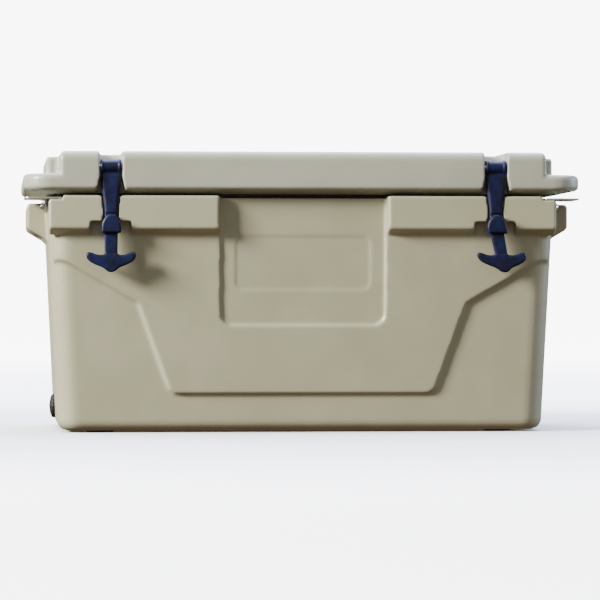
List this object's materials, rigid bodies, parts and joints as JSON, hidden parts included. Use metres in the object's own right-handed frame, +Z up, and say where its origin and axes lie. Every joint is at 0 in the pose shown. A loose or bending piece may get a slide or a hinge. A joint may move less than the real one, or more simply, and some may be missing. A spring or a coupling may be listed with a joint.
{
  "type": "cooler chest",
  "caption": "Rotomoulded foam-filled cooler chest with hinged lid, rubber T-latches, steel lock plates, moulded carrying lugs and a screw drain.",
  "frame": {"origin": "on the floor, under the middle of the bounding box", "axes": "+Z up, the latch side faces -Y, +X is to the right as seen from the front"},
  "size_m": [0.79, 0.446, 0.396],
  "materials": {
    "shell_plastic": "matte",
    "foam": "matte",
    "latch_rubber": "satin",
    "seal_rubber": "matte",
    "drain_nylon": "satin",
    "steel": "satin"
  },
  "bodies": {
    "body": {"body_shell": "shell_plastic", "body_foam": "foam", "body_port_plug_left": "drain_nylon", "body_port_plug_right": "drain_nylon", "drain_spout": "drain_nylon", "hinge_pin_left": "steel", "hinge_pin_right": "steel", "lock_plate_left": "steel", "lock_plate_right": "steel", "plate_screw_left_front": "steel", "foot_front_left": "seal_rubber", "foot_screw_front_left": "steel", "plate_screw_left_rear": "steel", "foot_rear_left": "seal_rubber", "foot_screw_rear_left": "steel", "plate_screw_right_front": "steel", "foot_front_right": "seal_rubber", "foot_screw_front_right": "steel", "plate_screw_right_rear": "steel", "foot_rear_right": "seal_rubber", "foot_screw_rear_right": "steel"},
    "lid": {"lid_shell": "shell_plastic", "lid_foam": "foam", "lid_port_plug_left": "drain_nylon", "lid_port_plug_right": "drain_nylon", "lid_seal": "seal_rubber", "latch_pin_left": "steel", "latch_pin_right": "steel"},
    "latch_left": {"latch_left": "latch_rubber"},
    "latch_right": {"latch_right": "latch_rubber"},
    "drain_washer": {"drain_washer": "seal_rubber"},
    "drain_plug": {"drain_plug": "seal_rubber"}
  },
  "joints": [
    {"name": "lid_hinge", "type": "hinge", "parent": "body", "child": "lid", "pos_m": [0, 0.213, 0.327], "axis": [-1, 0, 0], "range_deg": [0, 100]},
    {"name": "latch_left_hinge", "type": "hinge", "parent": "lid", "child": "latch_left", "pos_m": [-0.272, -0.204, 0.374], "axis": [-1, 0, 0], "range_deg": [0, 165]},
    {"name": "latch_right_hinge", "type": "hinge", "parent": "lid", "child": "latch_right", "pos_m": [0.272, -0.204, 0.374], "axis": [-1, 0, 0], "range_deg": [0, 165]},
    {"name": "drain_slide", "type": "slide", "parent": "body", "child": "drain_washer", "axis": [-1, 0, 0], "range_m": [0, 0.016]},
    {"name": "drain_turn", "type": "hinge", "parent": "drain_washer", "child": "drain_plug", "pos_m": [-0.36, 0, 0.033], "axis": [1, 0, 0], "range_deg": [0, 1440]}
  ],
  "couplings": [
    {"joint": "drain_slide", "follows": "drain_turn", "m_per_rad": 0.00063662}
  ]
}
